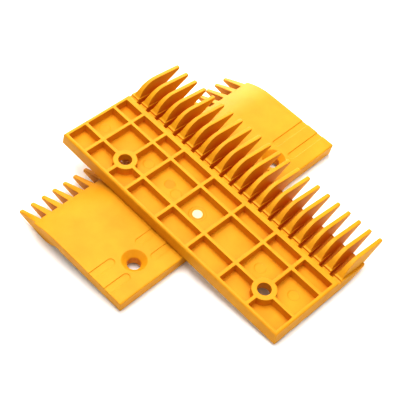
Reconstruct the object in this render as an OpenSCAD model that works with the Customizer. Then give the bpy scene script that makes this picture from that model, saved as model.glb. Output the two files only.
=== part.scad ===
// Escalator comb plate: two identical one-piece plastic mouldings.
// The lower plate lies face up. The upper plate lies underside up, face to
// face on it and turned across it.
//
// Every plate is drawn in its own frame first: X runs along the back edge from
// the left end, Y runs from the back edge towards the teeth, and Z runs from
// the rim of the underside (0) up to the walked-on face (plate_height).
// The assembly frame has +Z up, the floor at Z = 0, X along the lower plate,
// and +Y towards the lower plate's teeth.

/* [Plate] */
// Height from the rim of the underside to the walked-on face
plate_height = 10; // [9:0.1:11]
// Depth from the back edge to the outside of the front wall
wall_front = 58; // [56:0.5:60]
// Thickness of the face sheet over the pockets
sheet_thickness = 3.6; // [3:0.1:4]
// Thickness of the end walls and the back wall at the rim
side_wall = 2.5; // [2:0.1:3]
// Thickness of the front wall, which the comb starts from
front_wall = 4.2; // [3.5:0.1:5]
// How far the rim stands in from the face at each end
end_draft = 0.8; // [0.3:0.1:1.2]
// How far the rim stands in from the face at the back
back_draft = 0.3; // [0.1:0.1:0.6]
// Radius of the long back edge of the face
back_edge_radius = 1; // [0.5:0.1:1.5]

/* [Ribs] */
// Thickness of every rib
rib_thickness = 2.5; // [1.8:0.1:3]
// Centre of the rear lengthwise rib, from the back edge
rear_rib_y = 18.2; // [17:0.1:19]
// Centre of the forward lengthwise rib, from the back edge
forward_rib_y = 42.7; // [41:0.1:44]
// Centre of the first crosswise rib between the bosses, from the left end
cross_rib_1 = 52.9; // [50:0.1:56]
// Centre of the second crosswise rib between the bosses
cross_rib_2 = 81.5; // [79:0.1:84]
// Centre of the third crosswise rib between the bosses
cross_rib_3 = 110.3; // [108:0.1:113]
// Centre of the fourth crosswise rib between the bosses
cross_rib_4 = 139.1; // [137:0.1:141]
// Centre of the last crosswise rib, beyond the right boss
cross_rib_5 = 179.1; // [177:0.1:181]

/* [Fixing holes] */
// Centre of the left fixing hole, from the left end
left_hole_x = 28; // [26:0.5:30]
// Distance between the two fixing holes
hole_spacing = 129; // [127:0.5:131]
// Diameter of the fixing holes
hole_diameter = 9; // [8.4:0.1:9.6]
// Diameter of the countersink at the face
countersink_diameter = 16.6; // [15:0.1:18]
// Full angle of the countersink
countersink_angle = 90; // [82:1:100]
// Outside diameter of the bosses under the face
boss_diameter = 16.4; // [15:0.1:18]

/* [Face slots] */
// Depth of the shallow slots in the face
slot_depth = 0.5; // [0.3:0.1:0.8]
// Width of the slots
slot_width = 5.2; // [4.5:0.1:5.8]
// Centre of the rear row of slots, from the back edge
rear_slot_y = 12.4; // [11:0.1:13]
// Centre of the forward row of slots, from the back edge
forward_slot_y = 26.7; // [26:0.1:28]
// Distance from a hole's centre to the end of the slots on either side of it
slot_clear = 9.6; // [9:0.1:11]

/* [Nose] */
// How far the flat of the face runs on past the front wall
face_overhang = 2; // [1:0.5:4]
// Front edge of the face sheet between the teeth
lip_y = 83; // [81:0.5:84]
// How far the face has dropped at the lip
lip_drop = 5.6; // [5:0.1:6]
// Thickness of the lip
lip_thickness = 2; // [1.6:0.1:2.4]

/* [Teeth] */
// Number of teeth along the front
tooth_count = 22; // [21:1:23]
// Centre distance of the teeth, the same as that of the step tread's cleats
tooth_pitch = 9.068; // [8.9:0.001:9.2]
// Centre of the first tooth, from the left end
first_tooth = 4.2; // [4:0.1:4.5]
// Width of a tooth at the lip
tooth_width = 4.4; // [4:0.1:4.8]
// Narrowing of each flank towards the tip, in degrees
flank_taper = 0.6; // [0.3:0.1:1]
// Slope of each flank towards the tread, in degrees
flank_draft = 4.3; // [3.5:0.1:4.8]
// Width of the groove between the front wall and the pads
groove_width = 2.6; // [2:0.1:3.4]
// Level of the pads that the teeth rise from, above the rim
pad_z = 0.8; // [0.4:0.1:1.2]
// Level of the groove floor between the front wall and the pads
groove_z = 2; // [1.6:0.1:2.6]
// Width of a pad at the groove
pad_width = 6.2; // [5.6:0.1:6.6]
// Radius of the fillet between a pad and the front of its tooth
foot_radius = 1.5; // [1:0.1:2]
// Width of the pad's flat in front of that fillet
foot_land = 0.4; // [0.2:0.1:1]
// Length of the flare on both sides of a tooth's foot
flare_length = 7; // [5:0.5:8]
// Slope at which the teeth rise from their pads
rise_angle = 52; // [48:1:56]
// Depth of the teeth's lowest point below the rim
belly_depth = 8.25; // [7.6:0.05:9]
// Radius of the belly, seen from the side
belly_radius = 15.7; // [15:0.1:16.5]
// Centre of the rounded tooth tips, from the back edge
tip_y = 100.3; // [98:0.1:102]
// Depth of the tips' centre below the rim
tip_depth = 4.4; // [3.8:0.1:5]
// Radius of the tooth tips, seen from the side
tip_radius = 0.85; // [0.7:0.05:1]
// How far the top edge of a tooth lies under the lip's upper edge
tooth_step = 0.15; // [0.1:0.05:0.4]

/* [Moulding marks] */
// Centre of the gate mark, from the left end
gate_x = 97.7; // [96:0.1:99]
// Centre of the gate mark, from the back edge
gate_y = 28.8; // [28:0.1:30]
// Diameter of the gate disc
gate_disc = 6.6; // [5:0.1:7]
// Outside diameter of the ring sunk around the gate disc
gate_ring = 11.6; // [9:0.1:12]
// Diameter of the ejector marks
ejector_diameter = 7.6; // [6:0.1:8]
// Depth of all the moulding marks
mark_depth = 0.25; // [0.1:0.05:0.4]

/* [Stack] */
// Angle that the upper plate is turned by
cross_angle = 89.2; // [85:0.1:93]
// Place of the upper plate's reference corner along the lower plate
cross_x = 51.3; // [48:0.1:54]
// Place of that corner across the lower plate
cross_y = -80.5; // [-81:0.1:-78]
// Gap left between the two faces
stack_gap = 0.1; // [0.05:0.05:0.3]

/* [Hidden] */
plastic = [0.98, 0.75, 0.2];
fine = 96;
belly_steps = 7;
tip_steps = 4;
tip_plan_steps = 6;
foot_steps = 2;
flare_steps = 3;
// How far the flare's end lies inside the tooth's flank
flare_sink = 0.6;
// How much the tips' radius from above is larger than half their width
tip_clear = 0.1;
overrun = 1;
far = lip_y / 2;
plate_length = tooth_count * tooth_pitch;
drop_start = wall_front + face_overhang;
foot_y = wall_front + groove_width;
hole_x = [left_hole_x, left_hole_x + hole_spacing];
floor_z = plate_height - sheet_thickness;
countersink_depth = (countersink_diameter - hole_diameter) / 2 / tan(countersink_angle / 2);

// Crosswise rib centres, and the pocket edges between them
cross_ribs = [
    hole_x[0], cross_rib_1, cross_rib_2, cross_rib_3, cross_rib_4, hole_x[1], cross_rib_5
];
half_rib = rib_thickness / 2;
pocket_x_low = concat([end_draft + side_wall], [for (x = cross_ribs) x + half_rib]);
pocket_x_high = concat([for (x = cross_ribs) x - half_rib], [plate_length - end_draft - side_wall]);
pocket_y_low = [back_draft + side_wall, rear_rib_y + half_rib, forward_rib_y + half_rib];
pocket_y_high = [rear_rib_y - half_rib, forward_rib_y - half_rib, wall_front - front_wall];
middle_row_y = (rear_rib_y + forward_rib_y) / 2;

// Ejector marks: the pocket's number, and the offsets from the pocket's middle
ejector_marks = [[0, 0, 2.3], [1, 2, 0.3], [4, -6.6, -1.7], [4, 2, 0.8], [5, 0, 1.3], [7, 1.4, -1.4]];

// The nose is a sheet between two arcs that are level where the drop starts
nose_run = lip_y - drop_start;
lip_top = plate_height - lip_drop;
lip_under = lip_top - lip_thickness;
outer_radius = arc_radius(nose_run, lip_drop);
inner_radius = arc_radius(nose_run, floor_z - lip_under);

// Side view of a tooth: it leaves its pad in a small fillet, rises to a large
// belly arc, runs out straight to the tip and comes back to the lip
tooth_top = lip_top - tooth_step;
fillet_y = foot_y + foot_land;
belly_z = belly_radius - belly_depth;
rise_z = belly_z - belly_radius * cos(rise_angle);
rise_y = fillet_y + foot_radius * tan(rise_angle / 2) + (pad_z - rise_z) / tan(rise_angle);
belly_y = rise_y + belly_radius * sin(rise_angle);
to_tip = [tip_y - belly_y, -tip_depth - belly_z];
run_slope = atan(to_tip[1] / to_tip[0]) + asin((belly_radius - tip_radius) / norm(to_tip));
lip_to_tip = [tip_y - lip_y, tooth_top + tip_depth];
top_slope = atan(lip_to_tip[1] / lip_to_tip[0]) - asin(tip_radius / norm(lip_to_tip));
foot_fillet = [for (i = [0 : foot_steps]) let (a = rise_angle * i / foot_steps) [
    fillet_y + foot_radius * sin(a),
    pad_z - foot_radius * (1 - cos(a))
]];
belly = [for (i = [0 : belly_steps]) let (a = (rise_angle + run_slope) * i / belly_steps - rise_angle) [
    belly_y + belly_radius * sin(a),
    belly_z - belly_radius * cos(a)
]];
tip_arc = [for (i = [0 : tip_steps]) let (a = run_slope + (180 - run_slope - top_slope) * i / tip_steps) [
    tip_y + tip_radius * sin(a),
    -tip_depth - tip_radius * cos(a)
]];
buried = [for (t = [0.9, 0.6, 0.3, 0]) let (y = foot_y + t * (lip_y - foot_y)) [y, sheet_middle(y)]];
tooth_side = concat([[foot_y, pad_z]], foot_fillet, belly, tip_arc, [[lip_y, tooth_top]], buried);

// One side of a tooth's flared foot from above: half the width, narrowing, and
// the distance from the back edge
flare_end = tooth_width / 2 - flare_sink;
flare = [for (i = [0 : flare_steps]) let (t = i / flare_steps) [
    flare_end + (pad_width / 2 - flare_end) * (1 - t) * (1 - t),
    foot_y + t * flare_length
]];

// The tips are round from above too, on a radius just over half their width
tip_half = tooth_width / 2
    - tan(flank_draft) * (lip_top + tip_depth - tip_radius)
    - tan(flank_taper) * (tip_y - lip_y);
tip_plan_radius = tip_half + tip_clear;
tip_plan_y = tip_y + tip_radius - tip_plan_radius;

// Centres of all the teeth, from the left end
tooth_x = [for (i = [0 : tooth_count - 1]) first_tooth + i * tooth_pitch];

// Side view of a pad, with the groove in front of the wall
pad_end = lip_y - lip_thickness / 2;
pad_side = [
    [wall_front - overrun, groove_z],
    [foot_y, groove_z],
    [foot_y, pad_z],
    [pad_end, sheet_middle(pad_end)],
    [drop_start, sheet_middle(drop_start)],
    [wall_front - overrun, sheet_middle(drop_start)]
];

// The lower plate leans on its back edge and on the belly of its teeth
rest_tilt = max([for (p = belly) atan(-p[1] / (p[0] - back_draft))]);
stack_height = 2 * plate_height + stack_gap;
stack_near = (cross_y + end_draft) * cos(rest_tilt) - stack_height * sin(rest_tilt);
stack_far = (cross_y + plate_length) * cos(rest_tilt) - plate_height * sin(rest_tilt);
stack_middle = (stack_near + stack_far) / 2;

// Radius of an arc that starts level and falls by drop over run
function arc_radius(run, drop) = (run * run + drop * drop) / (2 * drop);

// Height of the underside and of the face of the nose, and halfway between
function arc_z(y, top, radius) = top - radius + sqrt(radius * radius - pow(max(y - drop_start, 0), 2));
function sheet_middle(y) = (arc_z(y, plate_height, outer_radius) + arc_z(y, floor_z, inner_radius)) / 2;

// Extrude a side view along the plate
module along_x(from, to) {
    translate([from, 0, 0])
        rotate([90, 0, 90])
            linear_extrude(to - from)
                children();
}

// Cylinder whose axis runs along the plate
module bar(y, z, radius) {
    translate([-overrun, y, z])
        rotate([0, 90, 0])
            cylinder(h = plate_length + 2 * overrun, r = radius, $fn = 4 * fine);
}

// Walls and face sheet, open below, with the grid of ribs left standing
module ribbed_tray() {
    difference() {
        along_x(0, plate_length)
            polygon([
                [back_draft, 0],
                [wall_front, 0],
                [wall_front, plate_height],
                [back_edge_radius, plate_height],
                for (a = [105 : 15 : 180]) [
                    back_edge_radius * (1 + cos(a)),
                    plate_height - back_edge_radius * (1 - sin(a))
                ]
            ]);
        for (i = [0 : len(pocket_x_low) - 1])
            for (j = [0 : len(pocket_y_low) - 1])
                translate([pocket_x_low[i], pocket_y_low[j], -overrun])
                    cube([
                        pocket_x_high[i] - pocket_x_low[i],
                        pocket_y_high[j] - pocket_y_low[j],
                        floor_z + overrun
                    ]);
    }
}

// Bosses around the fixing holes
module bosses() {
    for (x = hole_x)
        translate([x, rear_rib_y, 0])
            cylinder(h = floor_z + overrun, d = boss_diameter, $fn = fine);
}

// Face sheet curving down to the lip between the teeth
module nose() {
    difference() {
        union() {
            translate([0, wall_front - overrun, lip_under])
                cube([plate_length, face_overhang + overrun, plate_height - lip_under]);
            intersection() {
                translate([0, drop_start - overrun, lip_under])
                    cube([plate_length, nose_run + overrun, plate_height - lip_under]);
                bar(drop_start, plate_height - outer_radius, outer_radius);
            }
        }
        bar(drop_start, floor_z - inner_radius, inner_radius);
    }
}

// Flank cutter on the high side of a tooth
module flank() {
    translate([tooth_width / 2, lip_y, lip_top])
        rotate([0, flank_draft, flank_taper])
            translate([0, -far, -far])
                cube([far, 2 * far, 2 * far]);
}

// Side view of a tooth, as thick as its pad
module tooth_blank() {
    along_x(-pad_width / 2, pad_width / 2)
        polygon(tooth_side);
}

// Everything that lies inside the round tips, seen from above
module tip_outline() {
    translate([0, 0, -far])
        linear_extrude(2 * far)
            polygon(concat(
                [[-far, 0], [far, 0], [far, tip_plan_y]],
                [for (i = [0 : tip_plan_steps]) let (a = 180 * i / tip_plan_steps) [
                    tip_plan_radius * cos(a),
                    tip_plan_y + tip_plan_radius * sin(a)
                ]],
                [[-far, tip_plan_y]]
            ));
}

// One fin, with the flared foot it rises from
module fin() {
    intersection() {
        difference() {
            tooth_blank();
            flank();
            mirror([1, 0, 0])
                flank();
        }
        tip_outline();
    }
    intersection() {
        tooth_blank();
        translate([0, 0, -far])
            linear_extrude(2 * far)
                polygon(concat(
                    [[-pad_width / 2, foot_y - overrun], [pad_width / 2, foot_y - overrun]],
                    flare,
                    [for (i = [flare_steps : -1 : 0]) [-flare[i][0], flare[i][1]]]
                ));
    }
}

// Pad under one fin, from x = low to x = high at the groove and narrowing to
// the tooth's width at the lip
module pad(low, high, low_lip, high_lip) {
    intersection() {
        along_x(low, high)
            polygon(pad_side);
        translate([0, 0, -overrun])
            linear_extrude(plate_height)
                polygon([
                    [low, wall_front - 2 * overrun],
                    [high, wall_front - 2 * overrun],
                    [high, foot_y],
                    [high_lip, lip_y],
                    [low_lip, lip_y],
                    [low, foot_y]
                ]);
    }
}

// All the teeth, with the end pads running out to the ends of the plate
module comb() {
    last = tooth_count - 1;
    for (i = [0 : last])
        translate([tooth_x[i], 0, 0]) {
            fin();
            pad(
                i == 0 ? -first_tooth : -pad_width / 2,
                i == last ? plate_length - tooth_x[last] : pad_width / 2,
                i == 0 ? -first_tooth : -tooth_width / 2,
                i == last ? plate_length - tooth_x[last] : tooth_width / 2
            );
        }
}

// Countersunk hole, drawn downwards from the face
module fixing_hole() {
    translate([0, 0, -overrun])
        cylinder(h = plate_height + 2 * overrun, d = hole_diameter, $fn = fine);
    translate([0, 0, plate_height - countersink_depth])
        cylinder(h = countersink_depth, d1 = hole_diameter, d2 = countersink_diameter, $fn = fine);
}

// Round-ended slot in the face between two places along the plate
module face_slot(from, to) {
    translate([from, -slot_width / 2, plate_height - slot_depth])
        cube([to - from, slot_width, slot_depth + overrun]);
    for (x = [from, to])
        translate([x, 0, plate_height - slot_depth])
            cylinder(h = slot_depth + overrun, d = slot_width, $fn = fine);
}

// One row of slots, open at both ends of the plate and broken at the holes
module slot_row() {
    half = slot_width / 2;
    face_slot(-slot_width, hole_x[0] - slot_clear - half);
    face_slot(hole_x[0] + slot_clear + half, hole_x[1] - slot_clear - half);
    face_slot(hole_x[1] + slot_clear + half, plate_length + slot_width);
}

// Gate ring and ejector marks on the pocket floors
module moulding_marks() {
    translate([gate_x, gate_y, floor_z - overrun])
        difference() {
            cylinder(h = overrun + mark_depth, d = gate_ring, $fn = fine);
            translate([0, 0, -overrun])
                cylinder(h = 3 * overrun, d = gate_disc, $fn = fine);
        }
    for (mark = ejector_marks)
        translate([
            (pocket_x_low[mark[0]] + pocket_x_high[mark[0]]) / 2 + mark[1],
            middle_row_y + mark[2],
            floor_z - overrun
        ])
            cylinder(h = overrun + mark_depth, d = ejector_diameter, $fn = fine);
}

// Draft on the left end: everything outside the slanted end face
module end_cut() {
    rotate([0, -atan(end_draft / plate_height), 0])
        translate([-far, -overrun, -far])
            cube([far, 2 * far + wall_front, 2 * far]);
}

// The whole one-piece moulding
module comb_plate() {
    color(plastic)
        difference() {
            union() {
                ribbed_tray();
                bosses();
                nose();
                comb();
            }
            for (x = hole_x)
                translate([x, rear_rib_y, 0])
                    fixing_hole();
            for (y = [rear_slot_y, forward_slot_y])
                translate([0, y, 0])
                    slot_row();
            moulding_marks();
            translate([0, 0, plate_height])
                end_cut();
            translate([plate_length, 0, plate_height])
                mirror([1, 0, 0])
                    end_cut();
        }
}

// Put something drawn in the lower plate's frame where that plate rests
module at_rest() {
    translate([-plate_length / 2, -stack_middle, 0])
        rotate([rest_tilt, 0, 0])
            translate([0, -back_draft, 0])
                children();
}

module lower_comb_plate() {
    at_rest()
        comb_plate();
}

module upper_comb_plate() {
    at_rest()
        translate([cross_x, cross_y, stack_height])
            rotate([0, 0, cross_angle])
                rotate([180, 0, 0])
                    comb_plate();
}

lower_comb_plate();
upper_comb_plate();
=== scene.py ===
import math

import bpy
from mathutils import Euler, Matrix, Vector

# Two escalator comb plates, crossed: rounded edges, moulded plastic, studio and camera
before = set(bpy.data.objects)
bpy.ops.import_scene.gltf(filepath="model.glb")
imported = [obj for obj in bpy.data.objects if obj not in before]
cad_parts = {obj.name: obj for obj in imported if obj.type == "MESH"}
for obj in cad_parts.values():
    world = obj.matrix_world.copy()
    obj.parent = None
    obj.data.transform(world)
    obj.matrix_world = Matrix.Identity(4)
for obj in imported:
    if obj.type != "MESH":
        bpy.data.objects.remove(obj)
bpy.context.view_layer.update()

# One millimetre, in metres
MM = 0.001

# Camera, in the row frame: place in millimetres, turn in degrees, reach in metres
CAMERA_PLACE = (-332.82, -291.97, 513.16)
CAMERA_TURN = (41.372, -2.409, -44.830)
CAMERA_LENS = 91.42
CAMERA_REACH = 10

# Plate sizes in millimetres, as in the part's source: X along the back, Y to the teeth, Z rim to face
TOOTH_COUNT = 22
TOOTH_PITCH = 9.068
PLATE_LENGTH = TOOTH_COUNT * TOOTH_PITCH
PLATE_HEIGHT = 10
SHEET_THICKNESS = 3.6
FLOOR_Z = PLATE_HEIGHT - SHEET_THICKNESS
BACK_DRAFT = 0.3
END_DRAFT = 0.8
WALL_FRONT = 58
GROOVE_WIDTH = 2.6
FOOT_Y = WALL_FRONT + GROOVE_WIDTH
PAD_Z = 0.8
LIP_Y = 83
LIP_DROP = 5.6
LIP_THICKNESS = 2
LIP_UNDER = PLATE_HEIGHT - LIP_DROP - LIP_THICKNESS
TIP_Y = 100.3
TIP_RADIUS = 0.85
SLOT_DEPTH = 0.5
MARK_DEPTH = 0.25

# How the plates lie, in degrees and millimetres: one leans, the other is turned over across it
REST_TILT = 6.250
CROSS_ANGLE = 89.2
CROSS_X = 51.3
CROSS_Y = -80.5
STACK_GAP = 0.1
STACK_HEIGHT = 2 * PLATE_HEIGHT + STACK_GAP

# Radii of the moulded edges, in millimetres
RIM_ROUND = 1.4
END_RIM_ROUND = 1.2
FRONT_ROUND = 0.8
POCKET_CORNER_ROUND = 0.6
END_ROUND = 0.4
RIB_ROUND = 0.35
TOOTH_ROUND = 0.3
SLOT_ROUND = 0.3
PAD_ROUND = 0.3
FINE_ROUND = 0.1
NO_ROUND = 0.01

# How an edge is told from others: angle in degrees, heading and tip as shares, the rest in millimetres
SHARP_ANGLE = 25
PARALLEL = 0.9
SLACK = 0.1
FINE_SLACK = 0.05
WALL_MARGIN = 1
SLOT_MARGIN = 1.5
CORNER_MARGIN = 0.5
LEDGE_RISE = 1
TIP_SHARE = 0.7
MARK_FACET = 0.45

# Clean-up before the rounding: reach in millimetres, flatness in degrees. Then the steps of a rounding
WELD_REACH = 0.002
FLAT_ANGLE = 0.5
ROUND_STEPS = 3

# Plastic on open faces: soft patches from deep to pale, in linear colours
PLASTIC = (0.66, 0.31, 0.018, 1)
PLASTIC_DEEP = (0.64, 0.285, 0.015, 1)
PLASTIC_PALE = (0.68, 0.335, 0.021, 1)
MOTTLE = {"Scale": 0.045, "Detail": 4, "Roughness": 0.6}
MOTTLE_COLOURS = [(0.3, PLASTIC_DEEP), (0.5, PLASTIC), (0.7, PLASTIC_PALE)]

# Painted shade in crevices: a darker, redder tint by how open a place is within a reach in millimetres
WHITE = (1, 1, 1, 1)
CREVICE_SHADE = (0.98, 0.72, 0.85, 1)
CREVICE_SHADE_COLOURS = [(0.1, CREVICE_SHADE), (0.55, WHITE)]
CREVICE_REACH = 12
CREVICE_SAMPLES = 12

# Round marks on the pocket floor, in millimetres: places on the plate, diameters and soft edge. The
# recessed marks are darkened with painted shade, and the gate's pale disc is partly a painted highlight
GATE_PLACE = (97.7, 28.8)
GATE_DISC = 7.3
# Pale disc of the gate mark, its paleness partly a painted highlight of the cut face
GATE_CREAM_AND_HIGHLIGHT = (0.88, 0.74, 0.42, 1)
# Painted shade: these recessed marks are darkened
SHADED_MARKS = [
    ((126.7, 31.25), 7.6),
    (GATE_PLACE, 9.4),
]
MARK_SHADE = (0.9, 0.84, 0.78, 1)
MARK_EDGE = 0.5

# Satin finish with a fine grain, and the softening of edges that stay sharp, in millimetres
GRAIN = {"Scale": 0.9, "Detail": 2}
GRAIN_STRENGTH = 0.12
GRAIN_DEPTH = 0.2
ROUGH_LEAST = 0.38
ROUGH_MOST = 0.52
PLASTIC_IOR = 1.5
SPECULAR = 0.18
SOFT_ROUND = 0.5
SOFT_SAMPLES = 6

# Floor, with its size in metres
FLOOR_SIZE = 8
FLOOR_WHITE = (0.92, 0.92, 0.92, 1)
FLOOR_DIM = (0.9062, 0.9062, 0.9062, 1)
FLOOR_PATCHES = {"Scale": 3}
FLOOR_COLOURS = [(0, FLOOR_DIM), (1, FLOOR_WHITE)]
FLOOR_ROUGH = 0.9
FLOOR_GLOW = 0.04

# Soft lights around the plates: azimuth from +X and height in degrees, power in watts
LIGHTS = {
    "overhead": (60, 85, 9),
    "behind_high": (45, 60, 2.5),
    "behind_middle": (45, 30, 4.2),
    "behind_low": (45, 15, 5.6),
    "fill_left": (180, 45, 2.9),
    "fill_right": (-90, 45, 3.4),
}
LIGHT_DISTANCE = 1.1
LIGHT_SIZE = 0.7
WORLD_LIGHT = 0.01


def at_rest():
    """Turns a place in the lower plate's frame into the row frame, both in metres."""
    tilt = math.radians(REST_TILT)
    # The pair's two ends along Y, before the pair is centred
    near = (CROSS_Y + END_DRAFT) * math.cos(tilt) - STACK_HEIGHT * math.sin(tilt)
    far = (CROSS_Y + PLATE_LENGTH) * math.cos(tilt) - PLATE_HEIGHT * math.sin(tilt)
    to_middle = Matrix.Translation(Vector((-PLATE_LENGTH / 2, -(near + far) / 2, 0)) * MM)
    lean = Matrix.Rotation(tilt, 4, "X")
    return to_middle @ lean @ Matrix.Translation((0, -BACK_DRAFT * MM, 0))


def crossed():
    """Turns a place in the upper plate's frame into the lower plate's frame, both in metres."""
    flip = Matrix.Diagonal((1, -1, -1, 1))
    turn = Matrix.Rotation(math.radians(CROSS_ANGLE), 4, "Z")
    return Matrix.Translation(Vector((CROSS_X, CROSS_Y, STACK_HEIGHT)) * MM) @ turn @ flip


# From the row frame to each plate's own frame
TO_PLATE = {
    "lower_comb_plate": at_rest().inverted(),
    "upper_comb_plate": (at_rest() @ crossed()).inverted(),
}


class Nodes:
    """Short makers of a tree's nodes. A flag is a number that is 1 where something holds, and else 0."""

    def __init__(self, tree):
        self.tree = tree

    def fill(self, node, sockets):
        """Links or sets a node's sockets, each given by its name or number."""
        for key, value in dict(sockets).items():
            if isinstance(value, bpy.types.NodeSocket):
                self.tree.links.new(value, node.inputs[key])
            else:
                node.inputs[key].default_value = value
        return node

    def make(self, kind, sockets=(), **settings):
        """A new node with its settings and its sockets."""
        node = self.tree.nodes.new(kind)
        for name, value in settings.items():
            setattr(node, name, value)
        return self.fill(node, sockets)

    def maths(self, operation, *values):
        return self.make("ShaderNodeMath", enumerate(values), operation=operation).outputs["Value"]

    def vectors(self, operation, *values, result="Vector"):
        return self.make("ShaderNodeVectorMath", enumerate(values), operation=operation).outputs[result]

    def above(self, value, limit):
        return self.maths("GREATER_THAN", value, limit)

    def below(self, value, limit):
        return self.maths("LESS_THAN", value, limit)

    def within(self, value, low, high):
        return self.all_of(self.above(value, low), self.below(value, high))

    def near(self, value, place, slack):
        return self.within(value, place - slack, place + slack)

    def all_of(self, *flags):
        result = flags[0]
        for flag in flags[1:]:
            result = self.maths("MULTIPLY", result, flag)
        return result

    def any_of(self, *flags):
        result = flags[0]
        for flag in flags[1:]:
            result = self.maths("MAXIMUM", result, flag)
        return result

    def none_of(self, *flags):
        return self.maths("SUBTRACT", 1, self.any_of(*flags))

    def choose(self, flag, value, otherwise):
        """The value where the flag holds, and otherwise the other."""
        keep = self.maths("MULTIPLY", otherwise, self.none_of(flag))
        return self.maths("MULTIPLY_ADD", flag, value, keep)

    def along_axes(self, vector, matrix):
        """The parts of a vector along the plate's own axes."""
        return [self.vectors("DOT_PRODUCT", vector, row, result="Value") for row in matrix.to_3x3()]

    def on_plate(self, place, matrix):
        """The coordinates of a place in the plate's own frame, in millimetres."""
        parts = zip(self.along_axes(place, matrix), matrix.to_translation())
        return [self.maths("MULTIPLY_ADD", part, 1 / MM, offset / MM) for part, offset in parts]

    def ramp(self, value, stops):
        """A colour ramp of two or more stops, each a position and its colour."""
        node = self.make("ShaderNodeValToRGB", {"Fac": value})
        elements = node.color_ramp.elements
        elements[0].position, elements[0].color = stops[0]
        elements[1].position, elements[1].color = stops[-1]
        for position, colour in stops[1:-1]:
            elements.new(position).color = colour
        return node.outputs["Color"]

    def mix(self, blend, factor, first, second):
        """Two colours mixed by a factor."""
        sockets = {"Factor": factor, "A": first, "B": second}
        return self.make("ShaderNodeMix", sockets, data_type="RGBA", blend_type=blend).outputs["Result"]


def edge_facts(f, matrix):
    """Each edge's middle and length in millimetres, its heading in the plate's frame, and its angle."""
    ends = f.make("GeometryNodeInputMeshEdgeVertices")
    start = ends.outputs["Position 1"]
    end = ends.outputs["Position 2"]
    middle = f.vectors("MULTIPLY", f.vectors("ADD", start, end), (0.5, 0.5, 0.5))
    run = f.vectors("SUBTRACT", end, start)
    length = f.maths("DIVIDE", f.vectors("LENGTH", run, result="Value"), MM)
    heading = [f.maths("ABSOLUTE", part) for part in f.along_axes(f.vectors("NORMALIZE", run), matrix)]
    angle = f.make("GeometryNodeInputMeshEdgeAngle").outputs["Unsigned Angle"]
    return f.on_plate(middle, matrix), length, heading, angle


def edge_sizes(f, middle, length, heading):
    """The radius that each edge is rounded by, from where it lies on the plate."""
    x, y, z = middle
    lengthwise = f.above(heading[0], PARALLEL)
    upright = f.above(heading[2], PARALLEL)
    at_end = f.any_of(f.below(x, END_DRAFT + SLACK), f.above(x, PLATE_LENGTH - END_DRAFT - SLACK))
    at_back = f.below(y, BACK_DRAFT + SLACK)
    at_front = f.near(y, WALL_FRONT, SLACK)
    at_rim = f.near(z, 0, FINE_SLACK)
    in_frame = f.within(y, WALL_MARGIN, WALL_FRONT - WALL_MARGIN)
    in_pocket = f.within(z, CORNER_MARGIN, FLOOR_Z - CORNER_MARGIN)
    pad_front = f.all_of(f.near(y, FOOT_Y, FINE_SLACK), f.near(z, PAD_Z, FINE_SLACK))
    foot = f.all_of(f.within(y, FOOT_Y + FINE_SLACK, LIP_Y), f.below(z, PAD_Z - FINE_SLACK))
    free = f.above(y, LIP_Y + SLACK)
    tip = f.above(y, TIP_Y - TIP_SHARE * TIP_RADIUS)
    ledge = f.all_of(
        f.within(y, FOOT_Y - FINE_SLACK, LIP_Y - SLACK),
        f.within(z, PAD_Z - FINE_SLACK, LIP_UNDER + LEDGE_RISE),
        f.none_of(at_end),
    )
    slot = f.all_of(
        f.within(y, SLOT_MARGIN, WALL_FRONT - WALL_MARGIN),
        f.above(z, PLATE_HEIGHT - SLOT_DEPTH - FINE_SLACK),
        f.none_of(at_end),
    )
    mark = f.all_of(
        f.within(z, FLOOR_Z - FINE_SLACK, FLOOR_Z + MARK_DEPTH + FINE_SLACK),
        f.below(length, MARK_FACET),
    )

    # From the general to the special: each rule overrides those above it
    rules = [
        (f.all_of(upright, in_pocket, in_frame), POCKET_CORNER_ROUND),
        (f.all_of(at_rim, at_back), RIM_ROUND),
        (f.all_of(at_rim, at_front), FRONT_ROUND),
        (at_end, END_ROUND),
        (f.all_of(at_rim, at_end, in_frame), END_RIM_ROUND),
        (f.all_of(f.near(y, LIP_Y, SLACK), lengthwise), FINE_ROUND),
        (f.any_of(foot, free), TOOTH_ROUND),
        (f.any_of(ledge, tip), 0),
        (f.all_of(pad_front, lengthwise), PAD_ROUND),
        (f.any_of(slot, mark), FINE_ROUND),
        (f.all_of(slot, f.above(z, PLATE_HEIGHT - FINE_SLACK)), SLOT_ROUND),
    ]
    size = RIB_ROUND
    for flag, radius in rules:
        size = f.choose(flag, radius, size)
    return size


def rounding_tree(name, matrix):
    """Gives each sharp edge the share of RIM_ROUND that it is rounded by, and smooths the faces."""
    tree = bpy.data.node_groups.new("rounding_" + name, "GeometryNodeTree")
    for in_out in ("INPUT", "OUTPUT"):
        tree.interface.new_socket("Geometry", in_out=in_out, socket_type="NodeSocketGeometry")
    f = Nodes(tree)
    middle, length, heading, angle = edge_facts(f, matrix)
    sharp = f.above(angle, math.radians(SHARP_ANGLE))
    size = f.all_of(sharp, edge_sizes(f, middle, length, heading))
    stays_sharp = f.all_of(sharp, f.below(size, NO_ROUND))

    mesh = f.make("NodeGroupInput").outputs["Geometry"]
    smooth = f.make("GeometryNodeSetShadeSmooth", {"Geometry": mesh})
    crease = {
        "Geometry": smooth.outputs["Geometry"],
        "Selection": stays_sharp,
        "Shade Smooth": False,
    }
    creased = f.make("GeometryNodeSetShadeSmooth", crease, domain="EDGE")
    weight = {
        "Geometry": creased.outputs["Geometry"],
        "Name": "bevel_weight_edge",
        "Value": f.maths("DIVIDE", size, RIM_ROUND),
    }
    weighted = f.make("GeometryNodeStoreNamedAttribute", weight, data_type="FLOAT", domain="EDGE")
    f.make("NodeGroupOutput", {"Geometry": weighted.outputs["Geometry"]})
    return tree


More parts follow.
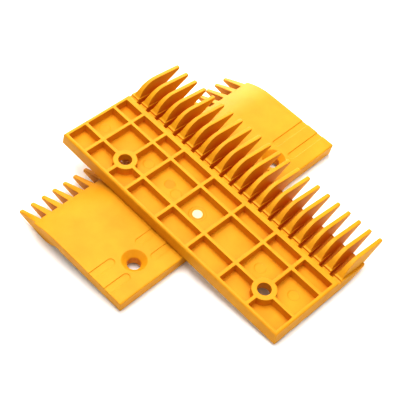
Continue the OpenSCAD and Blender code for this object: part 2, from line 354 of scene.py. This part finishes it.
def round_edges(node, name):
    """Moulded edges: merges the flat facets, then rounds every real edge to its own size."""
    weld = node.modifiers.new("weld", "WELD")
    weld.merge_threshold = WELD_REACH * MM
    flat = node.modifiers.new("flat", "DECIMATE")
    flat.decimate_type = "DISSOLVE"
    flat.angle_limit = math.radians(FLAT_ANGLE)
    sizes = node.modifiers.new("sizes", "NODES")
    sizes.node_group = rounding_tree(name, TO_PLATE[name])
    bevel = node.modifiers.new("edges", "BEVEL")
    bevel.width = RIM_ROUND * MM
    bevel.segments = ROUND_STEPS
    bevel.limit_method = "WEIGHT"
    bevel.use_clamp_overlap = False
    bevel.loop_slide = False
    normals = node.modifiers.new("normals", "WEIGHTED_NORMAL")
    normals.keep_sharp = True


def new_material(name):
    """A new material, the short makers of its nodes, and its shader."""
    material = bpy.data.materials.new(name)
    material.use_nodes = True
    tree = material.node_tree
    return material, Nodes(tree), tree.nodes["Principled BSDF"]


def plate_coordinates(f, matrix):
    """The place of each point in the plate's own frame, in millimetres."""
    mapping = {
        "Vector": f.make("ShaderNodeTexCoord").outputs["Object"],
        "Location": matrix.to_translation() / MM,
        "Rotation": matrix.to_euler(),
        "Scale": (1 / MM, 1 / MM, 1 / MM),
    }
    return f.make("ShaderNodeMapping", mapping, vector_type="POINT").outputs["Vector"]


def open_colour(f, place):
    """The slightly mottled colour of open faces."""
    mottle = f.make("ShaderNodeTexNoise", {"Vector": place, **MOTTLE})
    return f.ramp(mottle.outputs["Fac"], MOTTLE_COLOURS)


def paint_crevice_shade(f, colour):
    """Paints shade into narrow crevices: a deeper orange than open faces, by ambient occlusion."""
    reach = {"Distance": CREVICE_REACH * MM}
    openness = f.make("ShaderNodeAmbientOcclusion", reach, samples=CREVICE_SAMPLES, only_local=True)
    return f.mix("MULTIPLY", 1, colour, f.ramp(openness.outputs["AO"], CREVICE_SHADE_COLOURS))


def disc_mask(f, place, middle, diameter):
    """1 on a round mark on the floor of a plate's pockets, 0 off it, with a soft edge."""
    centre = (middle[0], middle[1], FLOOR_Z)
    edge = {
        "Value": f.vectors("DISTANCE", place, centre, result="Value"),
        "From Min": diameter / 2,
        "From Max": diameter / 2 - MARK_EDGE,
    }
    return f.make("ShaderNodeMapRange", edge, interpolation_type="SMOOTHSTEP").outputs["Result"]


def add_marks(f, place, colour):
    """Adds painted shade in the recessed marks, and the pale disc at the gate: a real gate mark, its
    paleness partly a painted highlight.
    """
    for middle, diameter in SHADED_MARKS:
        colour = f.mix("MULTIPLY", disc_mask(f, place, middle, diameter), colour, MARK_SHADE)
    return f.mix("MIX", disc_mask(f, place, GATE_PLACE, GATE_DISC), colour, GATE_CREAM_AND_HIGHLIGHT)


def moulded_finish(f, place, shader):
    """Satin roughness and bump from one fine grain, with the last sharp edges softened."""
    grain = f.make("ShaderNodeTexNoise", {"Vector": place, **GRAIN}).outputs["Fac"]
    rough = f.make("ShaderNodeMapRange", {"Value": grain, "To Min": ROUGH_LEAST, "To Max": ROUGH_MOST})
    soft = f.make("ShaderNodeBevel", {"Radius": SOFT_ROUND * MM}, samples=SOFT_SAMPLES)
    relief = {
        "Strength": GRAIN_STRENGTH,
        "Distance": GRAIN_DEPTH * MM,
        "Height": grain,
        "Normal": soft.outputs["Normal"],
    }
    finish = {
        "Roughness": rough.outputs["Result"],
        "IOR": PLASTIC_IOR,
        "Specular IOR Level": SPECULAR,
        "Normal": f.make("ShaderNodeBump", relief).outputs["Normal"],
    }
    f.fill(shader, finish)


def plastic_material(name, matrix):
    """Moulded plastic that is laid out in the plate's own frame."""
    material, f, shader = new_material("plastic_" + name)
    place = plate_coordinates(f, matrix)
    # Painted shade deepens the colour in crevices
    colour = paint_crevice_shade(f, open_colour(f, place))
    f.fill(shader, {"Base Color": add_marks(f, place, colour)})
    moulded_finish(f, place, shader)
    return material


def floor_material():
    """Pale floor with the faintest unevenness, and a slight glow that lightens the shadows."""
    material, f, shader = new_material("floor_white")
    patches = f.make("ShaderNodeTexNoise", FLOOR_PATCHES)
    look = {
        "Base Color": f.ramp(patches.outputs["Fac"], FLOOR_COLOURS),
        "Roughness": FLOOR_ROUGH,
        "Emission Color": WHITE,
        "Emission Strength": FLOOR_GLOW,
    }
    f.fill(shader, look)
    return material


def camera():
    """The camera, at the photograph's viewing angle."""
    data = bpy.data.cameras.new("camera")
    data.lens = CAMERA_LENS
    data.clip_end = CAMERA_REACH
    eye = bpy.data.objects.new("camera", data)
    eye.location = Vector(CAMERA_PLACE) * MM
    eye.rotation_euler = Euler([math.radians(angle) for angle in CAMERA_TURN])
    bpy.context.scene.collection.objects.link(eye)
    bpy.context.scene.camera = eye


def studio_floor():
    """The floor that the plates lie on."""
    bpy.ops.mesh.primitive_plane_add(size=FLOOR_SIZE)
    floor = bpy.context.object
    floor.name = "studio_floor"
    floor.data.materials.append(floor_material())


def studio_world():
    """Faint even light from all around."""
    world = bpy.data.worlds.new("studio")
    world.use_nodes = True
    tree = world.node_tree
    Nodes(tree).fill(tree.nodes["Background"], {"Color": WHITE, "Strength": WORLD_LIGHT})
    bpy.context.scene.world = world


def area_light(name, azimuth, height, power):
    """A soft square light that faces the plates."""
    data = bpy.data.lights.new(name, "AREA")
    data.size = LIGHT_SIZE
    data.energy = power
    lamp = bpy.data.objects.new(name, data)
    place = Vector((LIGHT_DISTANCE, 0, 0))
    place.rotate(Euler((0, math.radians(-height), math.radians(azimuth))))
    lamp.location = place
    lamp.rotation_euler = (-place).to_track_quat("-Z", "Y").to_euler()
    bpy.context.scene.collection.objects.link(lamp)


def studio():
    """Floor, lights and the contrast of the picture."""
    studio_floor()
    studio_world()
    for name, (azimuth, height, power) in LIGHTS.items():
        area_light(name, azimuth, height, power)
    view = bpy.context.scene.view_settings
    view.view_transform = "Standard"
    view.look = "High Contrast"


camera()
studio()
for name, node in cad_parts.items():
    node.data.materials.clear()
    node.data.materials.append(plastic_material(name, TO_PLATE[name]))
    round_edges(node, name)
